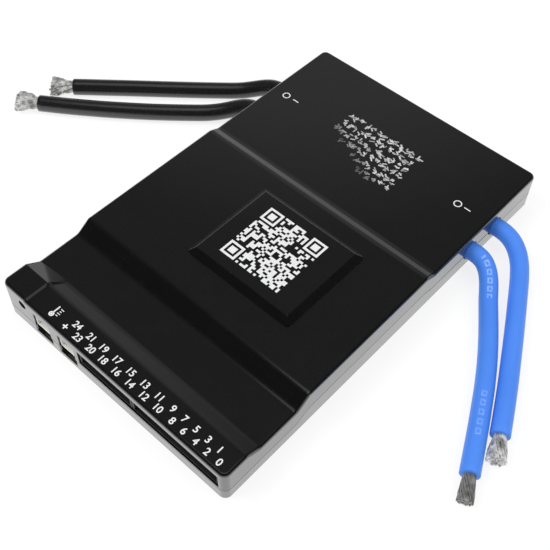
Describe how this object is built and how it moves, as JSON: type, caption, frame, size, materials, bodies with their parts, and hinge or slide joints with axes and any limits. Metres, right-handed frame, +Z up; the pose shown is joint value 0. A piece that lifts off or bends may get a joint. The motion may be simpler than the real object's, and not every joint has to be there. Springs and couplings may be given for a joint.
{
  "type": "battery management board",
  "caption": "Flat black moulded case with a stepped top, a raised pad, a row of sockets along the front edge, a status light and stub leads on both sides.",
  "frame": {"origin": "middle of the case's underside", "axes": "+X towards the blue battery leads, +Y along the case towards the lead end, +Z up"},
  "size_m": [0.2341, 0.16, 0.0186],
  "materials": {
    "case_plastic": "gloss black moulded case",
    "screw_steel": "plated steel screws and posts",
    "board_green": "green solder mask over glass laminate",
    "socket_nylon": "natural nylon socket housings",
    "socket_black": "black nylon tap headers",
    "contact_tin": "tin plated contacts",
    "light_red": "red tinted lens",
    "chip_black": "black moulded chip bodies",
    "part_grey": "bare aluminium cans and spreader",
    "copper": "bare copper bars",
    "gap_silicone": "grey-blue heat-conducting silicone",
    "black_silicone": "soft black silicone sleeve",
    "blue_silicone": "soft blue silicone sleeve",
    "tinned_copper": "tinned copper strands and solder",
    "white_ink": "white pad-printed ink"
  },
  "bodies": {
    "root": {"lower_shell": "case_plastic", "upper_shell": "case_plastic", "case_screws": "screw_steel", "control_board": "board_green", "power_board": "board_green", "board_screws": "screw_steel", "tap_header_left": "socket_black", "tap_header_right": "socket_black", "tap_pins": "contact_tin", "temperature_socket": "socket_nylon", "data_socket": "socket_nylon", "socket_pins": "contact_tin", "status_light": "light_red", "microcontroller": "chip_black", "cell_monitors": "chip_black", "link_chip": "chip_black", "balance_resistors": "chip_black", "balance_switches": "chip_black", "filter_capacitors": "part_grey", "supply_coil": "chip_black", "crystal": "part_grey", "board_link": "chip_black", "charge_transistors": "chip_black", "discharge_transistors": "chip_black", "drain_bar": "copper", "battery_bar": "copper", "pack_bar": "copper", "sense_resistors": "chip_black", "gap_pad": "gap_silicone", "heat_spreader": "part_grey", "spreader_posts": "copper", "spreader_screws": "screw_steel", "black_tails": "black_silicone", "blue_tails": "blue_silicone", "lead_cores": "tinned_copper", "solder_joints": "tinned_copper", "black_lead_a": "black_silicone", "black_lead_b": "black_silicone", "blue_lead_a": "blue_silicone", "blue_lead_b": "blue_silicone", "black_end_a": "tinned_copper", "black_end_b": "tinned_copper", "blue_end_a": "tinned_copper", "blue_end_b": "tinned_copper", "tap_marks": "white_ink", "code_print": "white_ink", "field_print": "white_ink", "polarity_marks": "white_ink"}
  },
  "joints": []
}
